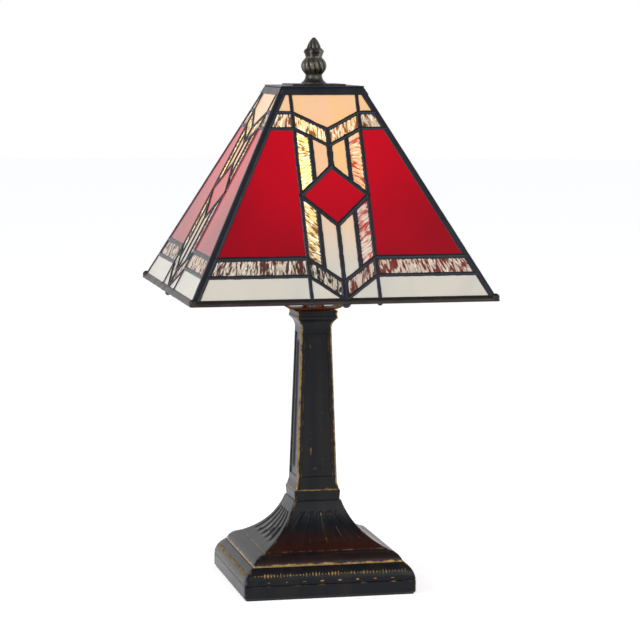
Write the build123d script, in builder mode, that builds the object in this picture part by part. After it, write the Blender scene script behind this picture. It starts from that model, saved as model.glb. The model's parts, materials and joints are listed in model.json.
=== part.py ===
"""Mission-style stained glass table lamp.

Frame: origin at the middle of the felt under the foot, +Z up, -Y is the front.
Every fit is worked out from the sizes below and a named clearance. Millimetres.
"""
from build123d import *
from math import atan2, degrees, hypot
import os

os.makedirs("parts", exist_ok=True)

# ---------------------------------------------------------------- driving dimensions
# Foot: a square stepped casting, hollow underneath, standing on felt
felt_thickness = 1.0
felt_margin = 1.2                # felt stops this far inside the foot's edge
foot_width = 116.4
foot_wall = 4.0
plinth_height = 9.0              # upright side of the plinth
band_height = 10.8               # rounded bead band above the plinth
band_inset = 6.4
torus_height = 7.4               # second rounded step
torus_inset = 15.2
ledge_inset = 17.2               # narrow ledge where the flare begins
ledge_rise = 0.8
step_ledge = 0.8                 # flat shelf between the two rounded steps
flare_neck = 0.5                 # flare meets the collar this far outside it
flare_height = 28.5              # hollow curve up to the collar
flare_hollow = 3.8               # how far the flare dips below a straight slope
collar_width = 31.8
collar_height = 8.0
collar_recess = 1.5              # socket in the collar's top that the column stands in
flutes_per_side = 5
flute_depth = 0.8
flute_low_width = 6.0
flute_high_width = 3.0
flute_low_pitch = 12.0
flute_high_pitch = 5.6
flute_low_share = 0.12           # where the flutes start and stop along the flare
flute_high_share = 0.76

# Column: a tapered square casting with a capital
column_bottom_width = 28.2
column_top_width = 21.1
column_height = 111.0            # shaft, from the collar's recess to the capital
capital_width = 23.7
capital_flare = 6.0
capital_flare_dip = 0.7
capital_band = 5.5
column_wall = 3.6
column_end_wall = 7.0            # solid metal at the column's two ends
panel_margin = 3.0               # plain border round each sunk panel
panel_end_margin = 8.0
panel_depth = 0.7
panel_flute_width = 8.0
panel_flute_depth = 1.2
panel_flute_taper = 30.0         # degrees, so that the groove's sides slope
panel_flute_inset = 5.0          # from the panel's ends

# Threaded lamp pipe and what clamps the stack together
pipe_diameter = 9.6
pipe_bore = 6.4
pipe_top_length = 13.0           # pipe above the column's top
weight_width = 72.0
weight_thickness = 9.0
boss_diameter = 22.0             # boss inside the foot that the weight is drawn against
weight_corner_radius = 5.0
weight_top_height = 21.0         # level of the boss's lower end
washer_diameter = 24.0
washer_thickness = 1.6
nut_across_flats = 15.0
nut_thickness = 4.5
pipe_tail = 1.2                  # pipe below the bottom nut

# Cord inlet in the rear of the plinth
grommet_hole = 6.4
grommet_flange = 8.2
grommet_flange_thickness = 1.0
grommet_bore = 4.6
grommet_height = 5.8             # centre of the inlet above the table

# Harp: a flat strap loop with a threaded stud on top
harp_width = 50.0
harp_height = 148.2
harp_strap_width = 11.0
harp_strap_thickness = 1.5
harp_corner_radius = 12.0
harp_nut_diameter = 14.8
harp_nut_thickness = 4.0
harp_nut_chamfer = 0.6
stud_diameter = 6.35
stud_flange_diameter = 14.0
stud_flange_thickness = 1.5
stud_length = 9.6                # thread above the flange
stud_chamfer = 0.6

# Lamp holder with a turn-knob switch
socket_diameter = 24.0
socket_base_height = 12.0
socket_shell_height = 36.0
socket_wall = 0.8
liner_wall = 1.6
liner_lip = 1.2
screw_shell_wall = 0.5
screw_shell_height = 19.0
contact_radius = 2.0
base_neck_radius = 7.0
base_cup_lift = 0.45             # slope at which the holder's base leaves its neck
switch_body_height = 9.0
switch_shaft_diameter = 3.2
switch_knob_diameter = 9.0
switch_knob_length = 8.0
switch_reach = 9.0               # knob stands this far off the holder
shaft_inner_end = 2.0
knob_ribs = 12
knob_rib_radius = 0.5

# Candle bulb
bulb_cap_diameter = 11.7
bulb_cap_length = 18.0
bulb_contact_height = 1.6
bulb_diameter = 35.0
bulb_length = 78.0               # glass only
bulb_wall = 0.9
bulb_neck_diameter = 12.6
bulb_contact_radius = 2.4
bulb_belly_share = 0.36          # height of the widest point along the glass
tip_radius = 4.0
tip_drop = 5.0
tip_slope = 0.25
stem_radius = 3.6
stem_taper = 3.0                 # degrees
filament_height = 34.0
filament_foot = 3.0
filament_half = 8.0
filament_rise = 9.0
filament_wire = 0.3

# Shade: four leaning faces of leaded glass
shade_bottom_width = 203.2
shade_top_width = 56.4
shade_height = 136.2
glass_thickness = 3.0
seam_stand = 0.8                 # solder stands this proud of the glass, both sides
foil_gap = 1.0                   # space between two neighbouring panes
corner_glass_gap = 0.408         # between the inner edges of two neighbouring faces' panes
corner_grip = 1.6                # corner seams reach this far past the panes' outlines
bottom_rim_width = 3.8
top_rim_width = 5.4
rim_grip = 1.7                   # glass hidden behind a rim
fine_seam = 2.2
wide_seam = 2.8
middle_seam = 3.6
solder_drop_radius = 2.6

# Pattern of one face: distances from its middle line, and heights up the slope
long_seam_u = 22.3
strip_seam_u = 12.0
upper_band_top = 136.8
upper_band_bottom = 125.0
lower_band_top = 33.0
lower_band_bottom = 20.4
upper_chevron_drop = 12.4
lower_chevron_drop = 16.9
diamond_top_v = 97.8
diamond_side_v = 77.0
diamond_bottom_v = 55.8

# Cap plate that closes the top, and the finial that holds the shade down
cap_plate_thickness = 1.0
cap_step_width = 36.4
cap_step_height = 1.1
finial_height = 30.7
finial_foot_radius = 8.5
finial_stem_radius = 5.6
finial_bulb_radius = 8.5
finial_waist_radius = 5.6
finial_leaf_radius = 6.6
finial_bud_radius = 4.9
finial_tip_radius = 0.9
finial_foot_edge = 0.5
finial_stem_dip = 1.0
insert_diameter = 8.6            # threaded brass insert inside the finial
insert_length = 9.0

# Clearances
slip_clearance = 0.2             # parts of one body that drop over each other
running_clearance = 0.05         # radial, moving threads and shafts
hole_clearance = 0.1             # radial, shade's cap on the stud
gap_clearance = 0.4              # between pieces that move past each other

# ---------------------------------------------------------------- worked-out levels
foot_half = foot_width / 2
collar_half = collar_width / 2
plinth_top = felt_thickness + plinth_height
band_top = plinth_top + band_height
torus_top = band_top + torus_height
flare_bottom = torus_top + ledge_rise
flare_top = flare_bottom + flare_height
collar_top = flare_top + collar_height
ledge_half = foot_half - ledge_inset
column_floor = collar_top - collar_recess
shaft_top = column_floor + column_height
capital_shoulder = shaft_top + capital_flare
column_top = capital_shoulder + capital_band
harp_top = column_top + harp_height
shade_seat = harp_top + stud_flange_thickness
shade_floor = shade_seat - shade_height
socket_floor = column_top + harp_strap_thickness + harp_nut_thickness
shell_floor = socket_floor + socket_base_height
socket_top = shell_floor + socket_shell_height
cap_top = shade_seat + cap_plate_thickness + cap_step_height
pipe_radius = pipe_diameter / 2
pipe_hole_radius = pipe_radius + slip_clearance
stud_radius = stud_diameter / 2
shade_half = shade_bottom_width / 2
shade_top_half = shade_top_width / 2
shade_run = shade_half - shade_top_half
slant = hypot(shade_run, shade_height)
shade_depth = glass_thickness + 2 * seam_stand
quarter_turns = (0, 90, 180, 270)


def save(piece, name):
    """Label a finished piece and write its STEP file."""
    piece.part.label = name
    export_step(piece.part, f"parts/{name}.step")


def sloped_face(bottom_half, top_half, floor, height, turn):
    """Plane in one side of a square pyramid: x along the hem, y up the slope, z outwards."""
    across = Vector(1, 0, 0)
    up_slope = Vector(0, bottom_half - top_half, height).normalized()
    outwards = across.cross(up_slope)
    origin = Vector(0, -bottom_half, floor)
    return Plane(
        origin=origin.rotate(Axis.Z, turn),
        x_dir=across.rotate(Axis.Z, turn),
        z_dir=outwards.rotate(Axis.Z, turn),
    )


def square_casting(section, reach, mode=Mode.ADD):
    """Square moulding: one section run both ways and crossed, so that its corners mitre."""
    with BuildPart(mode=Mode.PRIVATE) as moulding:
        extrude(section(Plane.XZ), amount=reach, both=True)
        extrude(section(Plane.YZ), amount=reach, both=True, mode=Mode.INTERSECT)
    add(moulding.part, mode=mode)


def square_frustum(bottom_half, top_half, floor, height, mode=Mode.ADD):
    """Square block that narrows evenly from floor to floor + height."""
    narrowing = degrees(atan2(bottom_half - top_half, height))
    with BuildSketch(Plane.XY.offset(floor)) as low_end:
        Rectangle(2 * bottom_half, 2 * bottom_half)
    extrude(low_end.sketch, amount=height, taper=narrowing, mode=mode)


def tube(outer_radius, inner_radius, floor, height, mode=Mode.ADD):
    """Upright round tube, or a rod where inner_radius is 0."""
    with BuildSketch(Plane.XY.offset(floor)) as ring:
        Circle(outer_radius)
        if inner_radius > 0:
            Circle(inner_radius, mode=Mode.SUBTRACT)
    extrude(ring.sketch, amount=height, mode=mode)


# ---------------------------------------------------------------- foot
def foot_section(plane, flare_cut=0.0):
    """Full section of the foot. flare_cut sinks the flare by that much, inwards and down."""
    with BuildSketch(plane) as section:
        with BuildLine():
            side = Polyline((0, felt_thickness), (foot_half, felt_thickness), (foot_half, plinth_top))
            band = RadiusArc(side @ 1, (foot_half - band_inset, band_top), -band_height * 1.5)
            step = Line(band @ 1, (foot_half - band_inset - step_ledge, band_top))
            torus = RadiusArc(step @ 1, (foot_half - torus_inset, torus_top), -torus_height * 1.5)
            ledge = Line(torus @ 1, (ledge_half - flare_cut, flare_bottom - flare_cut))
            neck = (collar_half + flare_neck - flare_cut, flare_top - flare_cut)
            flare = SagittaArc(ledge @ 1, neck, flare_hollow)
            Polyline(
                flare @ 1,
                (collar_half - flare_cut, flare_top),
                (collar_half - flare_cut, collar_top),
                (0, collar_top),
                (0, felt_thickness),
            )
        make_face()
        mirror(about=Plane.YZ)
    return section.sketch


def foot_cavity_section(plane):
    """Hollow under the foot: it follows the outside, one wall thickness in."""
    roof = flare_top - 2 * foot_wall
    with BuildSketch(plane) as section:
        with BuildLine():
            Polyline(
                (0, 0),
                (foot_half - foot_wall, 0),
                (foot_half - foot_wall, plinth_top),
                (foot_half - band_inset - foot_wall, band_top - foot_wall / 2),
                (ledge_half - foot_wall, flare_bottom - foot_wall),
                (collar_half, (flare_bottom + flare_top) / 2 - foot_wall),
                (boss_diameter / 2, roof),
                (0, roof),
                (0, 0),
            )
        make_face()
        mirror(about=Plane.YZ)
    return section.sketch


with BuildPart() as flute_core:
    square_casting(lambda plane: foot_section(plane, flute_depth), foot_half)

flute_low_z = flare_bottom + flute_low_share * flare_height
flute_high_z = flare_bottom + flute_high_share * flare_height
with BuildPart() as flute_cutter:
    with BuildSketch(Plane.XZ):
        for index in range(flutes_per_side):
            place = index - (flutes_per_side - 1) / 2
            low_x = place * flute_low_pitch
            high_x = place * flute_high_pitch
            Polygon(
                (low_x - flute_low_width / 2, flute_low_z),
                (low_x + flute_low_width / 2, flute_low_z),
                (high_x + flute_high_width / 2, flute_high_z),
                (high_x - flute_high_width / 2, flute_high_z),
                align=None,
            )
    extrude(amount=foot_half)
    add(flute_core.part, mode=Mode.SUBTRACT)

inlet_plane = Plane(origin=(0, foot_half, grommet_height), x_dir=(1, 0, 0), z_dir=(0, 1, 0))
with BuildPart() as base_foot:
    square_casting(foot_section, foot_half)
    square_casting(foot_cavity_section, foot_half, mode=Mode.SUBTRACT)
    tube(boss_diameter / 2, 0, weight_top_height, flare_top - weight_top_height)
    tube(pipe_hole_radius, 0, 0, collar_top, mode=Mode.SUBTRACT)
    with BuildSketch(Plane.XY.offset(column_floor)):
        Rectangle(column_bottom_width + 2 * slip_clearance, column_bottom_width + 2 * slip_clearance)
    extrude(amount=collar_recess, mode=Mode.SUBTRACT)
    with PolarLocations(0, 4):
        add(flute_cutter.part, mode=Mode.SUBTRACT)
    with BuildSketch(inlet_plane):
        Circle(grommet_hole / 2)
    extrude(amount=-2 * foot_wall, mode=Mode.SUBTRACT)
save(base_foot, "base_foot")

felt_half = foot_half - felt_margin
with BuildPart() as felt_pad:
    with BuildSketch():
        RectangleRounded(2 * felt_half, 2 * felt_half, felt_margin)
    extrude(amount=felt_thickness)
save(felt_pad, "felt_pad")

with BuildPart() as foot_weight:
    with BuildSketch(Plane.XY.offset(weight_top_height)):
        RectangleRounded(weight_width, weight_width, weight_corner_radius)
        Circle(pipe_hole_radius, mode=Mode.SUBTRACT)
    extrude(amount=-weight_thickness)
save(foot_weight, "foot_weight")

washer_floor = weight_top_height - weight_thickness - washer_thickness
nut_floor = washer_floor - nut_thickness
pipe_floor = nut_floor - pipe_tail
with BuildPart() as bottom_washer:
    tube(washer_diameter / 2, pipe_hole_radius, washer_floor, washer_thickness)
save(bottom_washer, "bottom_washer")

with BuildPart() as bottom_nut:
    with BuildSketch(Plane.XY.offset(nut_floor)):
        RegularPolygon(nut_across_flats / 2, 6, major_radius=False)
        Circle(pipe_radius, mode=Mode.SUBTRACT)
    extrude(amount=nut_thickness)
save(bottom_nut, "bottom_nut")

with BuildPart() as cord_grommet:
    with BuildSketch(inlet_plane):
        Circle(grommet_flange / 2)
    extrude(amount=grommet_flange_thickness)
    with BuildSketch(inlet_plane):
        Circle(grommet_hole / 2)
    extrude(amount=-foot_wall)
    with BuildSketch(inlet_plane.offset(-foot_wall)):
        Circle(grommet_flange / 2)
    extrude(amount=-grommet_flange_thickness)
    with BuildSketch(inlet_plane.offset(grommet_flange_thickness)):
        Circle(grommet_bore / 2)
    extrude(amount=-foot_wall - 2 * grommet_flange_thickness, mode=Mode.SUBTRACT)
save(cord_grommet, "cord_grommet")

# ---------------------------------------------------------------- column
shaft_bottom_half = column_bottom_width / 2
shaft_top_half = column_top_width / 2
capital_half = capital_width / 2


def column_section(plane):
    """Full section of the tapered shaft and its capital."""
    with BuildSketch(plane) as section:
        with BuildLine():
            side = Polyline(
                (0, column_floor),
                (shaft_bottom_half, column_floor),
                (shaft_top_half, shaft_top),
            )
            flare = SagittaArc(side @ 1, (capital_half, capital_shoulder), capital_flare_dip)
            Polyline(
                flare @ 1,
                (capital_half, column_top),
                (0, column_top),
                (0, column_floor),
            )
        make_face()
        mirror(about=Plane.YZ)
    return section.sketch


shaft_slope = (shaft_bottom_half - shaft_top_half) / column_height
panel_bottom = collar_recess + panel_end_margin
panel_top = column_height - panel_end_margin / 2
panel_bottom_half = shaft_bottom_half - shaft_slope * panel_bottom - panel_margin
panel_top_half = shaft_top_half + shaft_slope * panel_end_margin / 2 - panel_margin
flute_bottom = panel_bottom + panel_flute_inset
flute_length = panel_top - panel_flute_inset - flute_bottom
cavity_floor = column_floor + column_end_wall
cavity_height = column_height - 2 * column_end_wall
cavity_bottom_half = shaft_bottom_half - shaft_slope * column_end_wall - column_wall
cavity_top_half = shaft_top_half + shaft_slope * column_end_wall - column_wall
with BuildPart() as column:
    square_casting(column_section, capital_half + shaft_bottom_half)
    square_frustum(
        cavity_bottom_half, cavity_top_half, cavity_floor, cavity_height, mode=Mode.SUBTRACT
    )
    tube(pipe_hole_radius, 0, column_floor, column_top - column_floor, mode=Mode.SUBTRACT)
    for turn in quarter_turns:
        side_plane = sloped_face(
            shaft_bottom_half, shaft_top_half, column_floor, column_height, turn
        )
        with BuildSketch(side_plane):
            Polygon(
                (-panel_bottom_half, panel_bottom),
                (panel_bottom_half, panel_bottom),
                (panel_top_half, panel_top),
                (-panel_top_half, panel_top),
                align=None,
            )
        extrude(amount=-panel_depth, mode=Mode.SUBTRACT)
        with BuildSketch(side_plane.offset(-panel_depth)):
            with Locations((0, flute_bottom + flute_length / 2)):
                SlotOverall(flute_length, panel_flute_width, rotation=90)
        extrude(amount=-panel_flute_depth, taper=panel_flute_taper, mode=Mode.SUBTRACT)
save(column, "column")

# ---------------------------------------------------------------- pipe and harp
strap_floor = column_top
strap_ceiling = strap_floor + harp_strap_thickness
with BuildPart() as lamp_pipe:
    tube(pipe_radius, pipe_bore / 2, pipe_floor, column_top + pipe_top_length - pipe_floor)
save(lamp_pipe, "lamp_pipe")

with BuildPart() as harp_strap:
    with BuildSketch(Plane.XZ):
        with Locations((0, strap_floor + harp_height / 2)):
            RectangleRounded(harp_width, harp_height, harp_corner_radius)
            RectangleRounded(
                harp_width - 2 * harp_strap_thickness,
                harp_height - 2 * harp_strap_thickness,
                harp_corner_radius - harp_strap_thickness,
                mode=Mode.SUBTRACT,
            )
    extrude(amount=harp_strap_width / 2, both=True)
    tube(pipe_hole_radius, 0, strap_floor, harp_strap_thickness, mode=Mode.SUBTRACT)
    tube(stud_radius, 0, harp_top - harp_strap_thickness, harp_strap_thickness, mode=Mode.SUBTRACT)
save(harp_strap, "harp_strap")

with BuildPart() as harp_nut:
    tube(harp_nut_diameter / 2, pipe_radius, strap_ceiling, harp_nut_thickness)
    chamfer(harp_nut.edges().filter_by(GeomType.CIRCLE).group_by(Axis.Z)[-1][-1:], harp_nut_chamfer)
save(harp_nut, "harp_nut")

stud_floor = harp_top - harp_strap_thickness
stud_top = shade_seat + stud_length
with BuildPart() as harp_stud:
    tube(stud_radius, 0, stud_floor, stud_top - stud_floor)
    tube(stud_flange_diameter / 2, 0, harp_top, stud_flange_thickness)
    chamfer(harp_stud.edges().group_by(Axis.Z)[-1], stud_chamfer)
save(harp_stud, "harp_stud")

# ---------------------------------------------------------------- lamp holder
socket_radius = socket_diameter / 2
socket_inside = socket_radius - socket_wall
screw_shell_inside = bulb_cap_diameter / 2 + running_clearance
screw_shell_radius = screw_shell_inside + screw_shell_wall
screw_shell_floor = socket_top - screw_shell_height
switch_height = shell_floor + switch_body_height / 2
with BuildPart() as socket_base:
    with BuildSketch(Plane.XZ):
        with BuildLine():
            base_side = Line((pipe_radius, socket_floor), (base_neck_radius, socket_floor))
            base_cup = TangentArc(
                base_side @ 1, (socket_radius, shell_floor), tangent=(1, base_cup_lift)
            )
            Polyline(
                base_cup @ 1,
                (pipe_radius, shell_floor),
                (pipe_radius, socket_floor),
            )
        make_face()
    revolve(axis=Axis.Z)
save(socket_base, "socket_base")

shaft_plane = Plane(origin=(0, 0, switch_height), x_dir=(1, 0, 0), z_dir=(0, 1, 0))
shaft_hole_radius = switch_shaft_diameter / 2 + running_clearance
knob_start = socket_radius + switch_reach
with BuildPart() as socket_shell:
    tube(socket_radius, socket_inside, shell_floor, socket_shell_height)
    with BuildSketch(shaft_plane):
        Circle(shaft_hole_radius + slip_clearance)
    extrude(amount=socket_radius, mode=Mode.SUBTRACT)
save(socket_shell, "socket_shell")

liner_radius = socket_inside - slip_clearance
liner_floor = shell_floor + switch_body_height
with BuildPart() as socket_liner:
    tube(liner_radius, liner_radius - liner_wall, liner_floor, socket_top - liner_floor)
    tube(liner_radius, 0, liner_floor, liner_wall)
    for lip_floor in (screw_shell_floor, socket_top - liner_lip):
        tube(liner_radius, screw_shell_radius, lip_floor, liner_lip)
save(socket_liner, "socket_liner")

with BuildPart() as socket_screw_shell:
    tube(screw_shell_radius, screw_shell_inside, screw_shell_floor, screw_shell_height)
save(socket_screw_shell, "socket_screw_shell")

bulb_floor = socket_top + gap_clearance
bulb_contact_floor = bulb_floor - bulb_cap_length - bulb_contact_height
contact_floor = liner_floor + liner_wall
with BuildPart() as centre_contact:
    with BuildSketch(Plane.XY.offset(contact_floor)):
        Circle(contact_radius)
    extrude(amount=bulb_contact_floor - contact_floor)
save(centre_contact, "centre_contact")

with BuildPart() as switch_body:
    tube(liner_radius, 0, shell_floor, switch_body_height)
    with BuildSketch(shaft_plane):
        Circle(shaft_hole_radius)
    extrude(amount=liner_radius, mode=Mode.SUBTRACT)
save(switch_body, "switch_body")

with BuildPart() as switch_shaft:
    with BuildSketch(shaft_plane.offset(shaft_inner_end)):
        Circle(switch_shaft_diameter / 2)
    extrude(amount=knob_start + switch_knob_length / 2 - shaft_inner_end)
save(switch_shaft, "switch_shaft")

with BuildPart() as switch_knob:
    with BuildSketch(shaft_plane.offset(knob_start)):
        Circle(switch_knob_diameter / 2)
        with PolarLocations(switch_knob_diameter / 2, knob_ribs):
            Circle(knob_rib_radius)
    extrude(amount=switch_knob_length)
    with BuildSketch(shaft_plane.offset(knob_start)):
        Circle(switch_shaft_diameter / 2)
    extrude(amount=switch_knob_length / 2, mode=Mode.SUBTRACT)
save(switch_knob, "switch_knob")

# ---------------------------------------------------------------- bulb
cap_radius = bulb_cap_diameter / 2
cap_floor = bulb_floor - bulb_cap_length
bulb_top = bulb_floor + bulb_length
with BuildPart() as bulb_cap:
    tube(cap_radius, cap_radius - screw_shell_wall, cap_floor, bulb_cap_length)
    tube(cap_radius, 0, cap_floor, screw_shell_wall)
save(bulb_cap, "bulb_cap")

with BuildPart() as bulb_contact:
    tube(bulb_contact_radius, 0, bulb_contact_floor, bulb_contact_height)
save(bulb_contact, "bulb_contact")


def bulb_outline(inset):
    """Half outline of the candle-shaped glass, drawn inwards by inset."""
    belly = bulb_diameter / 2 - inset
    neck = bulb_neck_diameter / 2 - inset
    low = bulb_floor + inset
    with BuildSketch(Plane.XZ) as outline:
        with BuildLine():
            Line((0, low), (neck, low))
            Spline(
                (neck, low),
                (belly, bulb_floor + bulb_length * bulb_belly_share),
                (tip_radius, bulb_top - tip_drop - inset),
                (0, bulb_top - inset),
                tangents=((tip_slope, 1), (-1, 0)),
            )
            Line((0, bulb_top - inset), (0, low))
        make_face()
    return outline.sketch


with BuildPart() as bulb_glass:
    revolve(bulb_outline(0), axis=Axis.Z)
    revolve(bulb_outline(bulb_wall), axis=Axis.Z, mode=Mode.SUBTRACT)
save(bulb_glass, "bulb_glass")

stem_floor = bulb_floor + bulb_wall
with BuildPart() as bulb_stem:
    with BuildSketch(Plane.XY.offset(stem_floor)):
        Circle(stem_radius)
    extrude(amount=filament_height - bulb_wall, taper=stem_taper)
save(bulb_stem, "bulb_stem")

filament_level = bulb_floor + filament_height
with BuildPart() as bulb_filament:
    with BuildSketch(Plane.XZ):
        with BuildLine():
            Polyline(
                (-filament_foot, filament_level),
                (-filament_half, filament_level + filament_rise),
                (filament_half, filament_level + filament_rise),
                (filament_foot, filament_level),
            )
        trace(line_width=2 * filament_wire)
    extrude(amount=filament_wire, both=True)
save(bulb_filament, "bulb_filament")

# ---------------------------------------------------------------- shade: pattern of one face
hem_v = bottom_rim_width - rim_grip
crown_v = slant - top_rim_width + rim_grip
face_lean = shade_run / slant
glass_depth = seam_stand + glass_thickness
foil_inset = foil_gap / 2 * hypot(1, face_lean)
corner_pane_inset = glass_depth * shade_height / slant + corner_glass_gap - foil_inset
corner_leg = corner_pane_inset + corner_grip


def chevron(u, end_level, drop):
    """Height of a chevron seam at a distance u from the face's middle line."""
    return end_level - drop * (1 - u / long_seam_u)


def diamond_side(u, tip_level):
    """Height of the diamond's side at u, between a tip and the side corner."""
    return tip_level + (diamond_side_v - tip_level) * u / long_seam_u


def glass_edge(v):
    """Distance from the middle line to the outer edge of the glass at height v."""
    return shade_half - face_lean * v - corner_pane_inset


def wing(low_v, high_v):
    """Pane between the long seam and the corner, from one height to another."""
    return [(long_seam_u, low_v), (glass_edge(low_v), low_v), (glass_edge(high_v), high_v),
            (long_seam_u, high_v)]


upper_top_tip = chevron(0, upper_band_top, upper_chevron_drop)
upper_low_tip = chevron(0, upper_band_bottom, upper_chevron_drop)
upper_low_strip = chevron(strip_seam_u, upper_band_bottom, upper_chevron_drop)
lower_top_tip = chevron(0, lower_band_top, lower_chevron_drop)
lower_top_strip = chevron(strip_seam_u, lower_band_top, lower_chevron_drop)
lower_low_tip = chevron(0, lower_band_bottom, lower_chevron_drop)
diamond_high_strip = diamond_side(strip_seam_u, diamond_top_v)
diamond_low_strip = diamond_side(strip_seam_u, diamond_bottom_v)

# Outlines along the middle of the seams. One-of-a-kind panes first, then right-hand panes
# that have a mirror image on the left.
middle_panes = {
    "diamond_glass": [
        (0, diamond_top_v),
        (-long_seam_u, diamond_side_v),
        (0, diamond_bottom_v),
        (long_seam_u, diamond_side_v),
    ],
    "crown_cream_glass": [
        (0, upper_top_tip),
        (long_seam_u, upper_band_top),
        (long_seam_u, crown_v),
        (-long_seam_u, crown_v),
        (-long_seam_u, upper_band_top),
    ],
}
paired_panes = {
    "wing_top_cream_glass": wing(upper_band_top, crown_v),
    "wing_top_rippled_glass": wing(upper_band_bottom, upper_band_top),
    "wing_red_glass": wing(lower_band_top, upper_band_bottom),
    "wing_bottom_rippled_glass": wing(lower_band_bottom, lower_band_top),
    "wing_bottom_cream_glass": wing(hem_v, lower_band_bottom),
    "upper_chevron_glass": [
        (0, upper_low_tip),
        (long_seam_u, upper_band_bottom),
        (long_seam_u, upper_band_top),
        (0, upper_top_tip),
    ],
    "upper_strip_rippled_glass": [
        (strip_seam_u, diamond_high_strip),
        (long_seam_u, diamond_side_v),
        (long_seam_u, upper_band_bottom),
        (strip_seam_u, upper_low_strip),
    ],
    "upper_strip_cream_glass": [
        (0, diamond_top_v),
        (strip_seam_u, diamond_high_strip),
        (strip_seam_u, upper_low_strip),
        (0, upper_low_tip),
    ],
    "lower_strip_rippled_glass": [
        (strip_seam_u, lower_top_strip),
        (long_seam_u, lower_band_top),
        (long_seam_u, diamond_side_v),
        (strip_seam_u, diamond_low_strip),
    ],
    "lower_strip_cream_glass": [
        (0, lower_top_tip),
        (strip_seam_u, lower_top_strip),
        (strip_seam_u, diamond_low_strip),
        (0, diamond_bottom_v),
    ],
    "lower_chevron_glass": [
        (0, lower_low_tip),
        (long_seam_u, lower_band_bottom),
        (long_seam_u, lower_band_top),
        (0, lower_top_tip),
    ],
    "hem_cream_glass": [
        (0, hem_v),
        (long_seam_u, hem_v),
        (long_seam_u, lower_band_bottom),
        (0, lower_low_tip),
    ],
}


def shade_face(turn, depth=0.0):
    """Plane of one outer face of the shade, sunk by depth."""
    return sloped_face(shade_half, shade_top_half, shade_floor, shade_height, turn).offset(-depth)


def pane_sketch(plane, outline, paired):
    """Outline of one pane, drawn in by half the foil gap, with its mirror image if it has one."""
    with BuildSketch(plane) as drawing:
        with BuildLine():
            Polyline(*outline, close=True)
        make_face()
        offset(amount=-foil_gap / 2, kind=Kind.INTERSECTION)
        if paired:
            mirror(about=Plane.YZ)
    return drawing.sketch


face_glass = []
for pane_name, outline in (middle_panes | paired_panes).items():
    paired = pane_name in paired_panes
    with BuildPart() as face_panes:
        extrude(pane_sketch(shade_face(0, seam_stand), outline, paired), amount=-glass_thickness)
    face_glass.append(face_panes.part)
    with BuildPart() as panes:
        with PolarLocations(0, 4):
            add(face_panes.part)
    save(panes, pane_name)

# ---------------------------------------------------------------- shade: solder and rims
shell_inset = shade_depth * slant / shade_height
rim_drop = bottom_rim_width * shade_height / slant
crown_drop = top_rim_width * shade_height / slant


def half_at(z):
    """Half width of the shade's outer surface at a height z."""
    return shade_half - shade_run * (z - shade_floor) / shade_height


def shade_ring(floor, ceiling):
    """Level slice of the shade's wall, without its pattern."""
    square_frustum(half_at(floor), half_at(ceiling), floor, ceiling - floor)
    square_frustum(
        half_at(floor) - shell_inset,
        half_at(ceiling) - shell_inset,
        floor,
        ceiling - floor,
        mode=Mode.SUBTRACT,
    )


rim_ceiling = shade_floor + rim_drop
crown_floor = shade_seat - crown_drop
drop_reach = shade_half - solder_drop_radius
with BuildPart() as bottom_rim:
    shade_ring(shade_floor, rim_ceiling)
    with Locations(Plane.XY.offset(shade_floor + solder_drop_radius)):
        with GridLocations(2 * drop_reach, 2 * drop_reach, 2, 2):
            Sphere(solder_drop_radius)
    with PolarLocations(0, 4):
        add(face_glass, mode=Mode.SUBTRACT)
save(bottom_rim, "bottom_rim")

with BuildPart() as top_rim:
    shade_ring(crown_floor, shade_seat)
    with PolarLocations(0, 4):
        add(face_glass, mode=Mode.SUBTRACT)
save(top_rim, "top_rim")

with BuildPart() as wall:
    shade_ring(rim_ceiling, crown_floor)


def field_sketch(plane):
    """Everything on one face between its two corner seams."""
    with BuildSketch(plane) as field:
        Polygon(
            (-shade_half + corner_leg, 0),
            (shade_half - corner_leg, 0),
            (shade_top_half - corner_leg, slant),
            (corner_leg - shade_top_half, slant),
            align=None,
        )
    return field.sketch


with BuildPart() as face_fields:
    for turn in quarter_turns:
        extrude(field_sketch(shade_face(turn)), amount=shade_depth, both=True)

with BuildPart() as corner_seams:
    add(wall.part)
    add(face_fields.part, mode=Mode.SUBTRACT)
    add(bottom_rim.part, mode=Mode.SUBTRACT)
    with PolarLocations(0, 4):
        add(face_glass, mode=Mode.SUBTRACT)
save(corner_seams, "corner_seams")


def seam(width, *points):
    """Strip of solder of one width along straight runs between the points."""
    with BuildLine() as run:
        Polyline(*points)
    trace(run.edges(), line_width=width)


with BuildSketch(shade_face(0)) as seam_lines:
    for side in (-1, 1):
        long_u = side * long_seam_u
        strip_u = side * strip_seam_u
        edge_u = side * shade_half
        seam(fine_seam, (long_u, 0), (long_u, slant))
        for level in (upper_band_top, upper_band_bottom, lower_band_top, lower_band_bottom):
            seam(fine_seam, (long_u, level), (edge_u, level))
        seam(wide_seam, (strip_u, diamond_high_strip), (strip_u, upper_low_strip))
        seam(wide_seam, (strip_u, lower_top_strip), (strip_u, diamond_low_strip))
        seam(fine_seam, (0, upper_top_tip), (long_u, upper_band_top))
        seam(fine_seam, (0, upper_low_tip), (long_u, upper_band_bottom))
        seam(fine_seam, (0, lower_top_tip), (long_u, lower_band_top))
        seam(fine_seam, (0, lower_low_tip), (long_u, lower_band_bottom))
        seam(wide_seam, (0, diamond_top_v), (long_u, diamond_side_v), (0, diamond_bottom_v))
    seam(wide_seam, (0, upper_low_tip), (0, upper_top_tip))
    seam(middle_seam, (0, diamond_top_v), (0, upper_low_tip))
    seam(wide_seam, (0, lower_top_tip), (0, diamond_bottom_v))
    seam(middle_seam, (0, 0), (0, lower_top_tip))

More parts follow.
